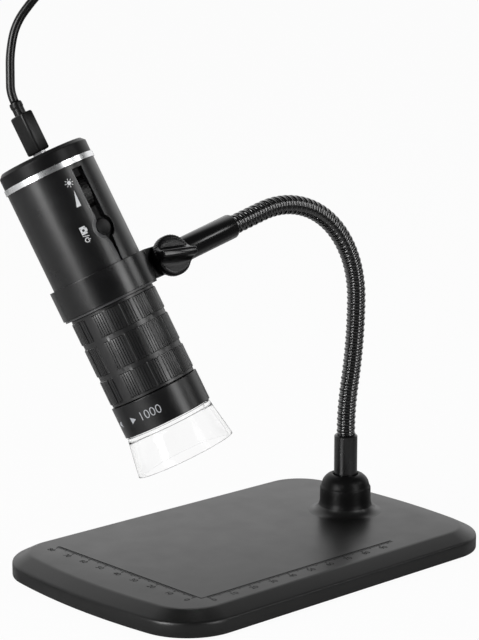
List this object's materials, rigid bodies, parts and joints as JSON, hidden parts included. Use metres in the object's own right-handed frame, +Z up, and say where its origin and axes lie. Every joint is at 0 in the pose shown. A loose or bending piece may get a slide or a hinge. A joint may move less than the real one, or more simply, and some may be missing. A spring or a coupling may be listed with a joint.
{
  "type": "digital microscope",
  "caption": "Digital microscope in a ring clamp on a bendable neck above a flat weighted base, with a focus ring, a dimmer wheel, a shutter button and a charging lead.",
  "frame": {"origin": "centre of the base on the plane its feet stand on", "axes": "+X along the base towards the neck's post, +Y towards its back edge, +Z up"},
  "size_m": [0.2823, 0.1327, 0.2577],
  "materials": {
    "satin_black": "satin moulded, fine grain",
    "black_cover": "moulded",
    "black_rubber": "matt",
    "zinc_steel": "plated",
    "black_neck": "gloss black over wound steel wire",
    "black_ferrule": "satin black over metal",
    "bright_trim": "polished",
    "black_satin": "satin moulded",
    "black_gloss": "gloss moulded",
    "black_grip": "ribbed moulded grip",
    "inner_black": "matt moulded",
    "liner_clear": "thin bright sleeve",
    "green_board": "lacquered circuit board",
    "cell_wrap": "foil wrapped cell",
    "lens_glass": "clear",
    "clear_plastic": "clear moulded",
    "lamp_white": "lamp resin",
    "cord_black": "soft flexible"
  },
  "bodies": {
    "base": {"base_shell": "satin_black", "bottom_cover": "black_cover", "rubber_feet": "black_rubber", "base_screws": "zinc_steel", "ballast_plate": "zinc_steel", "lead_free_run": "cord_black", "lead_coil": "cord_black", "lead_tail": "cord_black", "coil_tie": "inner_black", "usb_a_overmould": "cord_black", "usb_a_shell": "zinc_steel", "usb_a_tongue": "inner_black"},
    "neck": {"foot_ferrule": "black_ferrule", "neck_nut": "zinc_steel", "neck_washer": "zinc_steel", "gooseneck": "black_neck"},
    "arm": {"arm_ferrule": "black_ferrule"},
    "holder": {"holder_ring": "black_satin", "clamp_nut": "zinc_steel"},
    "ring_sleeve": {"ring_liner": "liner_clear"},
    "knob": {"clamp_knob": "black_gloss", "clamp_bolt": "zinc_steel", "knob_washer": "zinc_steel"},
    "microscope": {"housing": "black_satin", "trim_ring": "bright_trim", "end_cap": "black_satin", "dimmer_pot": "inner_black", "tact_switch": "inner_black", "main_board": "green_board", "battery": "cell_wrap", "charge_board": "green_board", "usb_socket": "zinc_steel", "front_barrel": "black_satin", "sensor_board": "green_board", "image_sensor": "inner_black", "led_spacer": "inner_black", "led_board": "green_board", "leds": "lamp_white", "clear_cap": "clear_plastic", "usb_plug_shell": "zinc_steel", "plug_overmould": "cord_black", "strain_relief": "cord_black"},
    "focus_ring": {"focus_ring": "black_grip"},
    "lens": {"lens_carriage": "inner_black", "objective_lens": "lens_glass"},
    "dimmer_wheel": {"dimmer_wheel": "black_grip"},
    "button": {"shutter_button": "black_satin"}
  },
  "joints": [
    {"name": "neck_swing", "type": "hinge", "parent": "base", "child": "neck", "pos_m": [0.055, 0, 0.026], "axis": [0, 0, 1], "range_deg": [-45, 45]},
    {"name": "neck_bend", "type": "hinge", "parent": "neck", "child": "arm", "pos_m": [0.045, 0, 0.115], "axis": [0, 1, 0], "range_deg": [-15, 50], "deforming": ["gooseneck", "lead_free_run"]},
    {"name": "holder_tilt", "type": "hinge", "parent": "arm", "child": "holder", "pos_m": [-0.04533, 0, 0.12766], "axis": [0.0966, 0.9192, -0.3819], "range_deg": [-60, 60]},
    {"name": "scope_turn", "type": "hinge", "parent": "holder", "child": "ring_sleeve", "pos_m": [-0.07247, 0, 0.12079], "axis": [-0.2255, 0.3939, 0.8911], "range_deg": [-60, 60]},
    {"name": "scope_slide", "type": "slide", "parent": "ring_sleeve", "child": "microscope", "axis": [0.2255, -0.3939, -0.8911], "range_m": [0, 0.038]},
    {"name": "knob_turn", "type": "hinge", "parent": "holder", "child": "knob", "pos_m": [-0.04533, 0, 0.12766], "axis": [0.0966, 0.9192, -0.3819], "range_deg": [0, 270]},
    {"name": "focus_turn", "type": "hinge", "parent": "microscope", "child": "focus_ring", "pos_m": [-0.06719, -0.00922, 0.09994], "axis": [-0.2255, 0.3939, 0.8911], "range_deg": [-150, 150]},
    {"name": "lens_travel", "type": "slide", "parent": "microscope", "child": "lens", "axis": [-0.2255, 0.3939, 0.8911], "range_m": [-0.0026, 0.0026]},
    {"name": "dimmer_turn", "type": "hinge", "parent": "microscope", "child": "dimmer_wheel", "pos_m": [-0.08103, 0.0057, 0.1546], "axis": [0.9694, 0, 0.2453], "range_deg": [-130, 130]},
    {"name": "button_press", "type": "slide", "parent": "microscope", "child": "button", "axis": [0.0966, 0.9192, -0.3819], "range_m": [0, 0.0004], "stiffness_N_per_m": 600, "springref_m": -0.0005}
  ],
  "couplings": [
    {"joint": "lens_travel", "follows": "focus_turn", "m_per_rad": 0.00095493}
  ]
}
